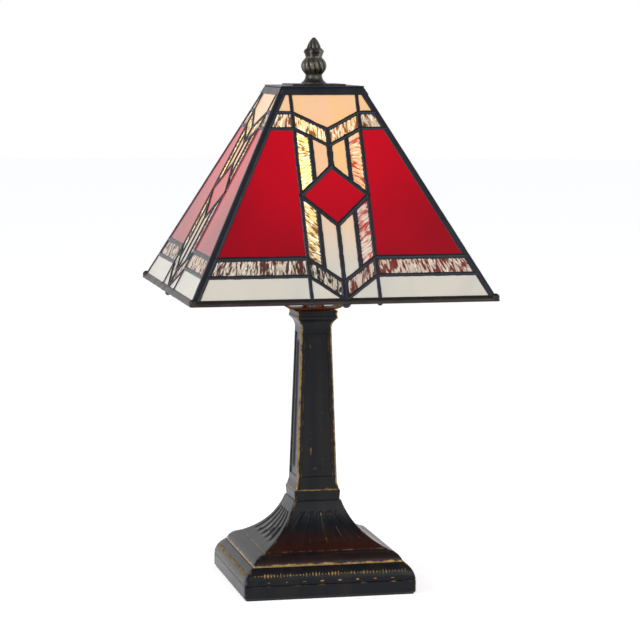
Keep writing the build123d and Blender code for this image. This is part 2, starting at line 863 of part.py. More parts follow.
with BuildPart() as one_lattice:
    extrude(seam_lines.sketch, amount=-shade_depth)
    extrude(field_sketch(shade_face(0)), amount=shade_depth, both=True, mode=Mode.INTERSECT)
    add(wall.part, mode=Mode.INTERSECT)
    add(face_glass, mode=Mode.SUBTRACT)

with BuildPart() as face_seams:
    with PolarLocations(0, 4):
        add(one_lattice.part)
save(face_seams, "face_seams")

# ---------------------------------------------------------------- cap plate and finial
with BuildPart() as cap_plate:
    with BuildSketch(Plane.XY.offset(shade_seat)):
        Rectangle(shade_top_width, shade_top_width)
    extrude(amount=cap_plate_thickness)
    with BuildSketch(Plane.XY.offset(shade_seat + cap_plate_thickness)):
        Rectangle(cap_step_width, cap_step_width)
    extrude(amount=cap_step_height)
    tube(stud_radius + hole_clearance, 0, shade_seat, cap_top - shade_seat, mode=Mode.SUBTRACT)
save(cap_plate, "cap_plate")

insert_radius = insert_diameter / 2
with BuildPart() as finial_insert:
    tube(insert_radius, stud_radius + running_clearance, cap_top, insert_length)
save(finial_insert, "finial_insert")

finial_top = cap_top + finial_height
stem_level = cap_top + 0.2 * finial_height
belly_level = cap_top + 0.37 * finial_height
waist_level = cap_top + 0.56 * finial_height
leaf_level = cap_top + 0.69 * finial_height
bud_level = cap_top + 0.77 * finial_height
with BuildPart() as finial:
    with BuildSketch(Plane.XZ):
        with BuildLine():
            foot_ring = Polyline(
                (0, cap_top),
                (finial_foot_radius, cap_top),
                (finial_foot_radius, cap_top + finial_foot_edge),
            )
            stem = SagittaArc(foot_ring @ 1, (finial_stem_radius, stem_level), finial_stem_dip)
            belly = ThreePointArc(
                stem @ 1, (finial_bulb_radius, belly_level), (finial_waist_radius, waist_level)
            )
            leaf = SagittaArc(belly @ 1, (finial_leaf_radius, leaf_level), finial_stem_dip / 2)
            bud_foot = Line(leaf @ 1, (finial_bud_radius, bud_level))
            bud = SagittaArc(bud_foot @ 1, (finial_tip_radius, finial_top), -finial_stem_dip / 2)
            Polyline(bud @ 1, (0, finial_top), (0, cap_top))
        make_face()
    revolve(axis=Axis.Z)
    insert_bore = insert_radius + running_clearance
    tube(insert_bore, 0, cap_top, insert_length + gap_clearance, mode=Mode.SUBTRACT)
save(finial, "finial")
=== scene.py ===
# %% [markdown]
# # A stained glass table lamp
# The lamp is a pyramid of leaded glass on a tapered square column and a stepped, hollow foot.
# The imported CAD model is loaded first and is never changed. It fixes every size and every joint.
# Each piece made here either stands in for a CAD part, with finer detail, or lends it a finish.

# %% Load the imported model
import json
from math import atan2, cos, hypot, pi, radians, sin

import bmesh
import bpy
from mathutils import Matrix, Vector, noise


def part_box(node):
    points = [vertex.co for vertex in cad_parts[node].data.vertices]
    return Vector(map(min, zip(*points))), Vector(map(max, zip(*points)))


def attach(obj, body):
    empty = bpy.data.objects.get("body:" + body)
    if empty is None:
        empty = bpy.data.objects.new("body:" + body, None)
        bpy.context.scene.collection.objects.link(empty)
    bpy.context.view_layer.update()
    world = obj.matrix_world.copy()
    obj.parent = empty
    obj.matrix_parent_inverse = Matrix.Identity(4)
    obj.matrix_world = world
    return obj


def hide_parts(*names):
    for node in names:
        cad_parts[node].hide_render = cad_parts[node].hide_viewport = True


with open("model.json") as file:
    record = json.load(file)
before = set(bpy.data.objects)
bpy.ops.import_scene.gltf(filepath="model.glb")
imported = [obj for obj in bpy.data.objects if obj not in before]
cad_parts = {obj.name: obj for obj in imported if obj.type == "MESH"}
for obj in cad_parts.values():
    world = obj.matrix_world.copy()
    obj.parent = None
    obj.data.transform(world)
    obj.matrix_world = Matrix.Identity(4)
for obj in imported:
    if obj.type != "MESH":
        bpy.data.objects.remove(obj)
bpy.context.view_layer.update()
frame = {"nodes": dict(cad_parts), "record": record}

MM = 0.001
QUARTERS = range(4)

# %% [markdown]
# ## The camera
# The camera stands a little to the left of the front, as high as the finial's tip, and looks
# slightly down. A long lens from well back keeps the column's sides nearly parallel. Its turn
# is built from three plain rotations, so each can be read alone.

# %% Camera
camera_azimuth = radians(-12.33)
camera_reach = 1.6607
camera_height = 0.3684
camera_tilt = radians(6.51)
camera_pan = radians(0.16)
camera_roll = radians(0.16)

camera_data = bpy.data.cameras.new("camera")
camera_data.lens = 138.86
camera_data.sensor_width = 36.0
camera = bpy.data.objects.new("camera", camera_data)
bpy.context.collection.objects.link(camera)
camera_x, camera_y = sin(camera_azimuth) * camera_reach, -cos(camera_azimuth) * camera_reach
camera.matrix_world = (
    Matrix.Translation((camera_x, camera_y, camera_height))
    @ Matrix.Rotation(camera_azimuth - camera_pan, 4, "Z")
    @ Matrix.Rotation(pi / 2 - camera_tilt, 4, "X")
    @ Matrix.Rotation(camera_roll, 4, "Z")
)
bpy.context.scene.camera = camera
print("camera at", [round(n, 3) for n in camera.matrix_world.translation])

# %% [markdown]
# ## Sums on sockets
# A finish is a sum of masks: where it is worn, how far it is from the bulb, how streaky it is.
# Writing those sums as Python expressions is easier to read than naming every Math node.
# `Wire` holds one output socket of a node tree, and each operator adds the node it needs.

# %% A wire that does arithmetic
class Wire:
    """One output socket of a node tree. Sums on wires add Math nodes."""

    def __init__(self, tree, socket=None):
        self.tree, self.socket = tree, socket

    def make(self, kind, inputs=None, output=0, **settings):
        """Add a node: its settings first, then the values or links of its inputs."""
        node = self.tree.nodes.new(kind)
        for name, value in settings.items():
            setattr(node, name, value)
        for key, value in (inputs or {}).items():
            for one in value if isinstance(value, list) else [value]:
                if isinstance(one, Wire):
                    self.tree.links.new(one.socket, node.inputs[key])
                else:
                    node.inputs[key].default_value = one
        return Wire(self.tree, node.outputs[output]) if output is not None else node

    def maths(self, operation, *values):
        return self.make("ShaderNodeMath", dict(enumerate(values)), operation=operation)

    def __add__(self, other):
        return self.maths("ADD", self, other)

    def __sub__(self, other):
        return self.maths("SUBTRACT", self, other)

    def __rsub__(self, other):
        return self.maths("SUBTRACT", other, self)

    def __mul__(self, other):
        return self.maths("MULTIPLY", self, other)

    def __truediv__(self, other):
        return self.maths("DIVIDE", self, other)

    __radd__ = __add__
    __rmul__ = __mul__

    def step(self, low, high):
        """Smooth step from 0 at low to 1 at high."""
        inputs = {"Value": self, "From Min": low, "From Max": high}
        return self.make("ShaderNodeMapRange", inputs, interpolation_type="SMOOTHSTEP")

    def vector(self, operation, other, output=0):
        return self.make("ShaderNodeVectorMath", {0: self, 1: other}, output, operation=operation)

    def combine(self, x=0.0, y=0.0, z=0.0):
        return self.make("ShaderNodeCombineXYZ", {"X": x, "Y": y, "Z": z})

    def stretch(self, x, y, z):
        return self.vector("MULTIPLY", (x, y, z))

    def clouds(self, scale, detail=3.0, twist=0.0):
        inputs = {"Vector": self, "Scale": scale, "Detail": detail, "Distortion": twist}
        return self.make("ShaderNodeTexNoise", inputs)

    def distance(self, point):
        return self.vector("DISTANCE", tuple(point), "Value")

    def attribute(self, name):
        return self.make("ShaderNodeAttribute", output="Fac", attribute_name=name)

    def tint(self, low, high):
        """Colour from low to high as this mask goes from 0 to 1. Three numbers are screen levels."""
        ends = [end if isinstance(end, Wire) or len(end) == 4 else colour(*end) for end in (low, high)]
        return self.make("ShaderNodeMix", {0: self, 6: ends[0], 7: ends[1]}, 2, data_type="RGBA")

    def bump(self, strength, depth):
        return self.make("ShaderNodeBump", {"Height": self, "Strength": strength, "Distance": depth})


def colour(red, green, blue):
    """Linear colour from the 0 to 255 levels seen on a screen."""
    levels = [n / 255 for n in (red, green, blue)]
    return (*(n / 12.92 if n <= 0.04045 else ((n + 0.055) / 1.055) ** 2.4 for n in levels), 1.0)


BLACK, WHITE = colour(0, 0, 0), colour(255, 255, 255)


def finish(name, recipe):
    """A material whose recipe turns Object coordinates into the inputs of a Principled shader."""
    material = bpy.data.materials.new(name)
    material.use_nodes = True
    material.node_tree.nodes.clear()
    place = Wire(material.node_tree).make("ShaderNodeTexCoord", output="Object")
    shader = place.make("ShaderNodeBsdfPrincipled", recipe(place))
    place.make("ShaderNodeOutputMaterial", {"Surface": shader}, output=None)
    return material


print("a level of 128 is", round(colour(128, 128, 128)[0], 3), "in linear light")

# %% [markdown]
# ## Glass lit from inside
# The bulb lights the shade through its glass, so a pane is warm and bright near the bulb and
# cool at the hem. Tracing that light through a hundred panes is slow and grainy. Here red and
# cream glass glow by themselves, by their distance from the bulb. A rippled pane carries its
# own share of light as a number, because its streaks pass very different amounts of it.

# %% Where the light comes from
bulb_low, bulb_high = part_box("bulb_glass")
bulb_centre = (Vector(bulb_low) + Vector(bulb_high)) / 2
near_glass, far_glass = 45 * MM, 112 * MM


def nearness(place):
    """1 at the glass nearest the bulb, 0 at the hem."""
    return 1 - place.distance(bulb_centre).step(near_glass, far_glass)


print("middle of the bulb, mm:", [round(n / MM, 1) for n in bulb_centre])


# %% Red, cream and rippled glass
def red_recipe(place):
    wisps = place.stretch(1.0, 1.0, 0.4).clouds(28.0, 4.0, 0.8)
    body = wisps.tint((124, 2, 16), (148, 2, 20))
    glow = (nearness(place) + wisps * 0.3 - 0.15).tint((72, 0, 10), (186, 0, 24))
    return {
        "Base Color": body, "Roughness": 0.16, "IOR": 1.5, "Specular IOR Level": 0.2,
        "Emission Color": glow, "Emission Strength": 0.62,
        "Normal": place.clouds(60.0, 2.0).bump(0.08, 0.3 * MM),
    }


def cream_recipe(place):
    mottle = place.stretch(1.0, 1.0, 0.35).clouds(34.0, 4.0, 1.2)
    near = nearness(place)
    # The base colour is painted by the light too: grey cream away from the bulb, peach near it, as lit glass
    # looks.
    unlit_cream = mottle.tint((188, 184, 176), (208, 201, 186))
    body = near.tint(unlit_cream, mottle.tint((190, 152, 118), (196, 162, 132)))
    streak = place.stretch(1.0, 1.0, 0.05).clouds(26.0, 2.0, 0.4).step(0.50, 0.60)
    warm = streak.tint((166, 122, 80), (172, 124, 34))
    return {
        "Base Color": body, "Roughness": 0.2, "IOR": 1.5, "Specular IOR Level": 0.3,
        "Emission Color": near.tint((30, 26, 24), warm), "Emission Strength": 1.0,
        "Normal": place.clouds(50.0, 2.0).bump(0.06, 0.3 * MM),
    }


def rippled_recipe(place):
    """Streaks drawn across each pane. `tone` runs amber to red, `lit` runs dim to glowing."""
    tone, lit = place.attribute("tone"), place.attribute("lit")
    across = place.attribute("across") * 0.24
    sheet = place.combine(place.attribute("along"), across, place.attribute("sheet"))
    swirl, fine = sheet.clouds(0.34, 1.0, 1.4), sheet.clouds(0.95, 1.5, 0.8)
    streak = (swirl * 0.72 + fine * 0.28 + lit * 0.07).step(0.44, 0.55)
    # Painted glints: near-white flecks in both the base colour and the glow.
    glint = fine.step(0.54, 0.63)
    dark = tone.tint((46, 38, 33), (172, 56, 46))
    unlit = tone.tint((186, 172, 152), (212, 194, 182))
    middle = lit.tint(unlit, tone.tint((204, 176, 116), (172, 108, 56)))
    light = glint.tint(middle, tone.tint((222, 218, 208), (212, 190, 166)))
    ember = tone.tint((176, 112, 30), (170, 52, 14))
    flame = glint.tint(
        tone.tint((244, 196, 92), (222, 140, 58)),
        tone.tint((255, 246, 206), (244, 184, 100)))
    return {
        "Base Color": streak.tint(dark, light), "Roughness": 0.1, "IOR": 1.5, "Specular IOR Level": 0.4,
        "Emission Color": lit.tint(BLACK, streak.tint(ember, flame)), "Emission Strength": 1.15,
        "Normal": fine.bump(0.3, 0.2 * MM),
    }


red_glass = finish("red_glass", red_recipe)
cream_glass = finish("cream_glass", cream_recipe)
rippled_glass = finish("rippled_glass", rippled_recipe)
print("glass:", red_glass.name, cream_glass.name, rippled_glass.name)

# %% [markdown]
# ## Metal with a history
# The solder is darkened with a patina, and the castings are painted dark bronze and rubbed
# back by hand, so gold shows on every edge. A mesh carries that rubbing as a number on its
# points, `rub`, and clouds break it up, since a hand never rubs an edge evenly. A second
# number, `russet`, turns the paint red-brown.
# On the finial, `rub` also holds a painted highlight along its ribs and foot rim.


# %% Patina and rubbed bronze
def patina(name, low, high, grain, detail, smoothest, dents, relief, depth):
    """Darkened solder: a hazy colour and sheen over small dents."""
    def recipe(place):
        haze = place.clouds(grain, detail)
        return {
            "Base Color": haze.tint(low, high), "Metallic": 0.55,
            "Roughness": haze * 0.2 + smoothest,
            "Normal": place.clouds(dents, 2.0).bump(relief, depth),
        }
    return finish(name, recipe)


def bronze_recipe(place):
    patches = place.clouds(22.0, 4.0, 0.6)
    worn = place.clouds(170.0, 4.0, 0.5)
    flecks = place.clouds(700.0, 2.0)
    rub = place.attribute("rub")
    gold = (rub * 1.05 + worn * 0.9 - 0.78 + flecks * 0.25).step(0.22, 0.52)
    drawn = place.stretch(1.0, 1.0, 0.07).clouds(75.0, 3.0, 0.3).step(0.42, 0.66)
    russet = place.attribute("russet") * (patches * 0.5 + 0.5)
    paint = drawn.tint((19, 21, 26), (29, 28, 27))
    paint = russet.tint(paint, (54, 23, 14))
    brass = flecks.tint((92, 70, 38), (168, 137, 88))
    return {
        "Base Color": gold.tint(paint, brass), "Metallic": gold * 0.5,
        "Roughness": 0.36 - patches * 0.16, "IOR": 1.45, "Specular IOR Level": 0.17,
        "Normal": place.clouds(140.0, 3.0).bump(0.10, 0.25 * MM),
    }


solder = patina("solder_patina", (20, 24, 32), (44, 46, 54), 90.0, 3.0, 0.26, 260.0, 0.25, 0.25 * MM)
rim_solder = patina("rim_patina", (22, 22, 26), (54, 42, 34), 70.0, 4.0, 0.28, 200.0, 0.3, 0.3 * MM)
bronze = finish("rubbed_bronze", bronze_recipe)
print("metal:", solder.name, rim_solder.name, bronze.name)


# %% [markdown]
# ## Plain finishes
# Every CAD node gets a finish by the material it is listed under, so the pieces that nothing
# replaces, such as the lamp holder and the bulb, are finished too.

# %% Everything inside the lamp
def plain(name, low, high, metallic, roughness, grain=120.0, relief=0.12):
    """A finish whose colour and sheen drift a little, as on any real surface."""
    def recipe(place):
        drift = place.clouds(grain, 3.0)
        return {
            "Base Color": drift.tint(low, high), "Metallic": metallic,
            "Roughness": drift * 0.16 + (roughness - 0.08),
            "Normal": place.clouds(grain * 3, 2.0).bump(relief, 0.15 * MM),
        }
    return finish(name, recipe)


def bulb_recipe(place):
    cloud = place.clouds(30.0, 2.0)
    glow = cloud.tint((255, 224, 170), (255, 236, 196))
    return {"Base Color": glow, "Roughness": 0.5, "Emission Color": glow, "Emission Strength": 0.9}


inner_finishes = {
    "copper_strap": plain("copper_strap", (88, 50, 30), (124, 74, 44), 0.8, 0.36),
    "brass": plain("brass", (182, 146, 74), (206, 170, 96), 0.95, 0.28),
    "steel": plain("steel", (140, 142, 146), (172, 174, 176), 0.95, 0.34),
    "cast_iron": plain("cast_iron", (44, 44, 46), (62, 60, 58), 0.5, 0.7, 60.0, 0.5),
    "phenolic": plain("phenolic", (20, 18, 17), (32, 28, 26), 0.0, 0.32),
    "rubber": plain("rubber", (22, 22, 23), (34, 34, 34), 0.0, 0.72),
    "felt": plain("felt", (32, 34, 30), (54, 54, 48), 0.0, 0.95, 900.0, 0.6),
    "filament": plain("filament", (220, 180, 120), (240, 200, 140), 0.6, 0.4),
    "bulb_glass": finish("bulb_glass", bulb_recipe),
    "red_glass": red_glass, "cream_glass": cream_glass, "rippled_glass": rippled_glass,
    "solder": solder, "bronze": bronze,
}
for subpart in frame["record"]["subparts"]:
    node = frame["nodes"][subpart["node"]]
    node.data.materials.clear()
    node.data.materials.append(inner_finishes[subpart["material_slot"]])
print(len(frame["nodes"]), "CAD nodes have a finish")


# %% [markdown]
# ## Handing a piece over
# Every new mesh needs the same things: a finish, smooth shading that still breaks at real
# edges, the body it moves with, and the CAD nodes it stands for.

# %% Mesh and hand-over helpers
def new_mesh(name, points, edges, faces, **numbers):
    """Mesh whose points carry the named numbers."""
    mesh = bpy.data.meshes.new(name)
    mesh.from_pydata([tuple(point) for point in points], edges, faces)
    for label, values in numbers.items():
        mesh.attributes.new(label, "FLOAT", "POINT").data.foreach_set("value", values)
    return mesh


def edit(mesh, change):
    """Let change(work) alter a mesh through bmesh."""
    work = bmesh.new()
    work.from_mesh(mesh)
    change(work)
    work.to_mesh(mesh)
    work.free()
    return mesh


def ring_faces(levels, around, first=0, closed=False):
    """Quads that join each ring of points to the next, and the last to the first if closed."""
    faces = []
    for level in range(levels if closed else levels - 1):
        here, above = first + level * around, first + (level + 1) % levels * around
        for n in range(around):
            after = (n + 1) % around
            faces.append((here + n, here + after, above + after, above + n))
    return faces


def quarter(turn, size=3):
    """The matrix that turns one side of the lamp to another."""
    return Matrix.Rotation(turn * pi / 2, size, "Z")


def hand_over(mesh, name, body, material, nodes=(), crease=40.0):
    """Turn a mesh into a finished piece that rides on a body."""
    mesh.name = name
    mesh.materials.clear()
    mesh.materials.append(material)
    mesh.shade_smooth()
    mesh.set_sharp_from_angle(angle=radians(crease))
    piece = bpy.data.objects.new(name, mesh)
    bpy.context.collection.objects.link(piece)
    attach(piece, body)
    if nodes:
        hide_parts(*nodes)
    print(f"{name}: {len(mesh.vertices)} points, {len(mesh.polygons)} faces")
    return piece


# %% [markdown]
# ## Square castings
# The foot and the column are both a square that changes size on its way up. Such a casting can
# be stacked from level rings. Each ring is one side's points, turned four times, with a small
# rounded corner between. A side's points may sink below the face, which cuts flutes and panels
# whose edges always fall on a line of points, so they stay crisp however the casting tapers.

# %% Stacking rings
CORNER_STEPS = 4
# Painted sheen: the left and right sides keep less red-brown than the front and back, standing for the pale
# wash that light gives a side seen at a glancing angle.
SHEEN_SIDE_RUSSET = 0.2  # how much red-brown the left and right sides keep


def side_ring(half, height, corner, stations, rub, edge_rub, russet):
    """One ring: (point, rub, russet) round a square. stations are (across, sunk, rub) on a side."""
    ring = []
    for turn in QUARTERS:
        spin = quarter(turn)
        # The left and right sides lose some red-brown here, as painted sheen.
        red = russet * (1.0 if turn % 2 == 0 else SHEEN_SIDE_RUSSET)
        for across, sunk, worn in stations:
            ring.append((spin @ Vector((across, sunk - half, height)), max(rub, worn), red))
        for step in range(CORNER_STEPS + 1):
            angle = (step / CORNER_STEPS - 1) * pi / 2
            reach = half - corner
            spot = Vector((reach + corner * cos(angle), corner * sin(angle) - reach, height))
            ring.append((spin @ spot, max(rub, edge_rub), red))
    return ring


def stack(rings):
    """Closed mesh from rings that run up the outside, in over the top and down the inside."""
    spots, rubs, russets = zip(*(entry for ring in rings for entry in ring))
    faces = ring_faces(len(rings), len(rings[0]), closed=True)
    return new_mesh("casting", [spot * MM for spot in spots], [], faces, rub=rubs, russet=russets)


def run(start, end, steps, bulge=0.0):
    """Points after start, up to end, that swell sideways by bulge on the way."""
    (h0, z0), (h1, z1) = start, end
    length = hypot(h1 - h0, z1 - z0)
    out = ((z1 - z0) / length, -(h1 - h0) / length)
    shares = [n / steps for n in range(1, steps + 1)]
    return [
        (h0 + (h1 - h0) * s + out[0] * 4 * bulge * s * (1 - s),
         z0 + (z1 - z0) * s + out[1] * 4 * bulge * s * (1 - s))
        for s in shares
    ]


# %% [markdown]
# ## The foot
# From the table up: an upright plinth, a bold rounded band, a second softer step, a narrow
# ledge, then a hollow flare up to a collar. Five flutes fan out over each side of the flare.

# %% Sizes of the foot
foot_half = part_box("base_foot")[1][0] / MM
foot_floor, collar_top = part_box("base_foot")[0][2] / MM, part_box("base_foot")[1][2] / MM
plinth_top, band_top, torus_top = 10.0, 20.8, 28.2
flare_bottom, flare_top = 29.0, 57.5
collar_half = 15.9
FLUTES = (-2, -1, 0, 1, 2)
WORN_LOW, WORN_HIGH = (-1, 0), (0, 1, 2)  # flutes whose ends show gold
flute_low_z, flute_high_z = 32.4, 50.7
flute_depth, flute_rub = 0.9, 0.62
russet_top, russet_fade, russet_most = 42.0, 14.0, 0.85
torus_russet, torus_fade = 0.6, 0.5
foot_corner_rub = 0.42
print(f"foot is {2 * foot_half:.1f} mm square, {foot_floor:.1f} to {collar_top:.1f} mm high")


# %% Foot
def foot_stations(half, height):
    """Points across one side of the foot, sunk where a flute passes."""
    share = min(max((height - flute_low_z) / (flute_high_z - flute_low_z), 0.0), 1.0)
    pitch, reach = 12.0 - 6.4 * share, 3.0 - 1.5 * share
    inside = flute_low_z <= height <= flute_high_z
    ends = max(0.0, 1 - (2 * share - 1) ** 6) ** 0.5 if inside else 0.0
    found = []
    for place in FLUTES:
        worn = inside and (share < 0.17 and place in WORN_LOW or share > 0.84 and place in WORN_HIGH)
        for part in (-1.0, -0.88, -0.6, 0.0, 0.6, 0.88, 1.0):
            sunk = flute_depth * ends * (1 - part * part) ** 0.5
            found.append((place * pitch + part * reach, sunk, flute_rub if worn and part == 0.88 else 0.0))
    outer, limit = 2 * pitch + reach, half - 1.4
    margin = [outer + (limit - outer) * n / 4 for n in (1, 2, 3, 4)]
    return [(-x, 0.0, 0.0) for x in reversed(margin)] + found + [(x, 0.0, 0.0) for x in margin]


outline = [((foot_half - 0.7, foot_floor), 0.1), ((foot_half, foot_floor + 0.7), 0.35)]
outline += [(spot, 0.05) for spot in run((foot_half, foot_floor + 0.7), (foot_half, plinth_top - 1.2), 4)]
outline += [((foot_half, plinth_top - 0.7), 0.42), ((foot_half - 0.45, plinth_top - 0.3), 0.3)]
outline += [((foot_half - 0.05, plinth_top + 0.2), 0.3)]
band = run((foot_half - 0.05, plinth_top + 0.2), (foot_half - 6.0, band_top - 0.5), 14, 1.25)
outline += [(spot, 0.42 if 15.4 < spot[1] < 16.6 else 0.0) for spot in band]
outline += [((foot_half - 6.5, band_top), 0.15), ((foot_half - 7.1, band_top - 0.3), 0.0)]
outline += [((foot_half - 7.2, band_top + 0.1), 0.75), ((foot_half - 7.35, band_top + 0.6), 0.7)]
torus = run((foot_half - 7.35, band_top + 0.6), (foot_half - 14.8, torus_top - 0.3), 10, 1.3)
outline += [(spot, 0.44 if spot[1] < band_top + 2.2 else 0.05) for spot in torus]
outline += [((foot_half - 15.2, torus_top), 0.2), ((foot_half - 15.5, torus_top - 0.1), 0.3)]
outline += [((foot_half - 16.6, flare_bottom - 0.2), 0.5), ((foot_half - 17.2, flare_bottom), 0.3)]
flare = run((foot_half - 17.2, flare_bottom), (collar_half + 0.5, flare_top), 44, -3.8)
outline += [(spot, 0.0) for spot in flare]
outline += [((collar_half - 0.45, flare_top + 0.5), 0.0)]
collar = run((collar_half - 0.45, flare_top + 0.5), (collar_half - 0.05, collar_top - 2.2), 4)
outline += [(spot, 0.1) for spot in collar]
outline += [((collar_half - 0.1, collar_top - 1.3), 0.2), ((collar_half - 0.45, collar_top - 0.5), 0.75),
            ((collar_half - 1.1, collar_top), 0.35)]
inner = [(14.4, collar_top), (14.4, 64.0), (5.0, 64.0), (5.0, 21.0), (11.0, 21.0), (11.0, 49.5), (15.9, 39.2),
         (37.0, 25.0), (47.8, 18.8), (54.2, 10.0), (54.2, foot_floor)]
outline += [(spot, 0.0) for spot in inner]

rings = []
for (half, height), rub in outline:
    russet = min(max((russet_top - height) / russet_fade, 0.0), russet_most) if height > torus_top else 0.0
    if band_top < height <= torus_top:
        russet = torus_russet - torus_fade * (height - band_top) / (torus_top - band_top)
    corner = min(1.4, 0.25 * half)
    lines = foot_stations(half, height) if half > 14.5 else [
        (half * 0.8 * (2 * n / 42 - 1), 0.0, 0.0) for n in range(43)]
    rings.append(side_ring(half, height, corner, lines, rub, foot_corner_rub, russet))
foot_mesh = stack(rings)

# %% Pierce the cord inlet
inlet_low, inlet_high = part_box("cord_grommet")
inlet_centre = (Vector(inlet_low) + Vector(inlet_high)) / 2
inlet_radius, inlet_drill_depth = 3.2 * MM, 16 * MM


def as_object(mesh, name="helper"):
    thing = bpy.data.objects.new(name, mesh)
    bpy.context.collection.objects.link(thing)
    return thing


def bake(thing):
    """Mesh of an object with its modifiers applied. The object itself is removed."""
    shaped = thing.evaluated_get(bpy.context.evaluated_depsgraph_get())
    mesh = bpy.data.meshes.new_from_object(shaped)
    bpy.data.objects.remove(thing)
    return mesh


def drill(work):
    lying = Matrix.Translation(inlet_centre) @ Matrix.Rotation(pi / 2, 4, "X")
    bmesh.ops.create_cone(work, cap_ends=True, segments=32, radius1=inlet_radius, radius2=inlet_radius,
                          depth=inlet_drill_depth, matrix=lying)


drill_object, foot_object = as_object(edit(bpy.data.meshes.new("drill"), drill)), as_object(foot_mesh)
cut = foot_object.modifiers.new("inlet", "BOOLEAN")
cut.object, cut.operation, cut.solver = drill_object, "DIFFERENCE", "EXACT"
pierced = bake(foot_object)
bpy.data.objects.remove(drill_object)
hand_over(pierced, "foot_casting", "base", bronze, ["base_foot"])

# %% [markdown]
# ## The column
# A tapered shaft with a sunk panel on each side, a shallow groove down the panel's middle, and
# a small flared capital. It is the same stack of rings, with stations at the panel's edges.

# %% Sizes of the column
column_low, column_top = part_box("column")[0][2] / MM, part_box("column")[1][2] / MM
shaft_low_half, shaft_high_half, shaft_top = 14.1, 10.55, 175.0
capital_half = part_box("column")[1][0] / MM
panel_low, panel_high, panel_depth, panel_margin = 73.5, 171.0, 0.7, 3.0
groove_low, groove_high, groove_depth = 78.5, 166.0, 1.0
panel_slope, groove_slope = 0.6, 4.0  # height over which a panel or groove reaches its depth
column_corner_rub = 0.62
print(f"column runs {column_low:.1f} to {column_top:.1f} mm, capital {2 * capital_half:.1f} mm wide")


# %% Column
def ramp(value, low, high):
    return min(max((value - low) / (high - low), 0.0), 1.0)


def column_stations(half, height):
    """Points across one side of the column, sunk by its panel and groove."""
    panel_start = ramp(height, panel_low, panel_low + panel_slope)
    panel_end = ramp(panel_high, height, height + panel_slope)
    panel = panel_depth * min(panel_start, panel_end) * (panel_low < height < panel_high)
    groove_start = ramp(height, groove_low, groove_low + groove_slope)
    ends = min(groove_start, ramp(groove_high - height, 0.0, groove_slope))
    groove = groove_depth * (1 - (1 - ends) ** 2) ** 0.5
    edge = half - panel_margin
    right = [(0.0, panel + groove, 0.0), (1.6, panel + groove * 0.93, 0.0), (2.9, panel + groove * 0.6, 0.05),
             (3.9, panel, 0.38 if groove else 0.0), (edge - 1.0, panel, 0.0), (edge - 0.35, panel, 0.0),
             (edge, 0.0, 0.5 if panel else 0.0), (edge + 0.5, 0.0, 0.1), (half - 1.6, 0.0, 0.3)]
    left = [(-x, sunk, rub) for x, sunk, rub in reversed(right[1:])]
    return left + right


column_outline = [((shaft_low_half - 0.1, column_low), 0.0), ((shaft_low_half, column_low + 1.2), 0.0)]
column_outline += [((15.0, collar_top), 0.4), ((14.7, collar_top + 1.2), 0.2)]
column_outline += [((14.1, collar_top + 3.4), 0.15)]


def shaft_half(height):
    narrowing = shaft_high_half - shaft_low_half
    return shaft_low_half + narrowing * (height - column_low) / (shaft_top - column_low)


levels = [69.6, 71.5, panel_low, panel_low + panel_slope, 76.0, groove_low, 79.2, 80.0, 81.2, 82.6]
levels += [84.0 + 8.0 * n for n in range(10)]
levels += [161.9, 163.4, 164.6, 165.4, groove_high, 168.5, panel_high - panel_slope]
levels += [panel_high, 173.0, shaft_top]
column_outline += [((shaft_half(height), height), 0.0) for height in levels]
cove = run((shaft_high_half, shaft_top), (capital_half - 0.1, 181.0), 6, -0.7)
column_outline += [(spot, 0.05) for spot in cove]
column_outline += [((capital_half, 181.3), 0.2), ((capital_half, 182.6), 0.1),
                   ((capital_half - 0.35, 182.9), 0.0), ((capital_half - 0.35, 184.9), 0.0),
                   ((capital_half, 185.2), 0.2), ((capital_half, column_top - 0.3), 0.2),
                   ((capital_half - 0.3, column_top), 0.1)]
column_outline += [((5.0, column_top), 0.0), ((5.0, column_low), 0.0)]
column_rings = []
for (half, height), rub in column_outline:
    if half > 9:
        lines = column_stations(half, height)
    else:
        lines = [(half * 0.7 * n / 8, 0.0, 0.0) for n in range(-8, 9)]
    corner = min(0.9, 0.2 * half)
    column_rings.append(side_ring(half, height, corner, lines, rub, column_corner_rub, 0.0))
hand_over(stack(column_rings), "column_casting", "base", bronze, ["column"])

# %% [markdown]
# ## Rows that repeat
# Worn reeding runs along the foot's band, and the solder seams run along every face of the
# shade. Both repeat, so each is a small Geometry Nodes tree. A tree works on one side, laid out
# flat or square on, then copies it to all four sides, makes it real and gives it its finish.

# %% Geometry Nodes helpers
def new_tree(name, sizes):
    """Empty tree with a geometry input and named sizes. Gives the tree and a wire for each input."""
    tree = bpy.data.node_groups.new(name, "GeometryNodeTree")
    tree.interface.new_socket("Geometry", in_out="OUTPUT", socket_type="NodeSocketGeometry")
    tree.interface.new_socket("Geometry", in_out="INPUT", socket_type="NodeSocketGeometry")
    for label in sizes:
        tree.interface.new_socket(label, in_out="INPUT", socket_type="NodeSocketFloat")
    entry = tree.nodes.new("NodeGroupInput")
    return tree, {socket.name: Wire(tree, socket) for socket in entry.outputs if socket.name}


